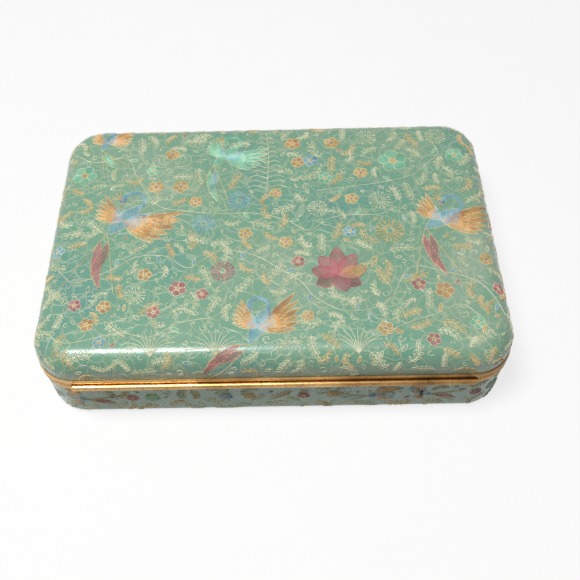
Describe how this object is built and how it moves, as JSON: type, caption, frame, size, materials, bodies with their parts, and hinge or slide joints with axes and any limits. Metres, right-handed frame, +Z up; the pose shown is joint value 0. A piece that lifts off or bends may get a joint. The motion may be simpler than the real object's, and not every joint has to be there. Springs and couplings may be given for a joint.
{
  "type": "brocade keepsake case",
  "caption": "Low rectangular keepsake case in green silk brocade with round corners, a padded lid, brass rims, a long brass hinge and a satin tray with ring rolls inside.",
  "frame": {"origin": "middle of the underside, on the cloth panel that the case stands on", "axes": "+Z up, +X along the width and the hinge, -Y towards the hinge side, +Y towards the clasp side"},
  "size_m": [0.1914, 0.1322, 0.0432],
  "materials": {
    "brocade": "silk satin ground with raised woven pattern",
    "underside_cloth": "plain weave cotton",
    "board": "raw grey-brown board",
    "brass": "polished, lightly worn and darkened",
    "lining_satin": "old-gold satin",
    "wadding": "cotton wadding",
    "mirror": "silvered glass"
  },
  "bodies": {
    "base": {"bottom_cloth": "underside_cloth", "base_floor_board": "board", "base_wall_board": "board", "base_cover": "brocade", "base_rim": "brass", "base_wall_lining": "lining_satin", "base_floor_pad": "lining_satin", "cross_divider_left": "lining_satin", "cross_divider_right": "lining_satin", "long_divider": "lining_satin", "ring_roll_card": "lining_satin", "ring_roll_1": "lining_satin", "ring_roll_2": "lining_satin", "ring_roll_3": "lining_satin", "ring_roll_4": "lining_satin", "ring_roll_5": "lining_satin", "hinge_base_leaf": "brass", "hinge_pin": "brass", "hinge_strip": "lining_satin", "clasp_stud": "brass"},
    "lid": {"lid_top_board": "board", "lid_wall_board": "board", "lid_wadding": "wadding", "lid_cover": "brocade", "lid_rim": "brass", "lid_wall_lining": "lining_satin", "lid_panel": "lining_satin", "mirror_glass": "mirror", "mirror_frame": "brass", "hinge_lid_leaf": "brass", "clasp_tab": "brass", "clasp_rivets": "brass"}
  },
  "joints": [
    {"name": "lid_hinge", "type": "hinge", "parent": "base", "child": "lid", "pos_m": [0, -0.0649, 0.026], "axis": [1, 0, 0], "range_deg": [0, 105]}
  ]
}
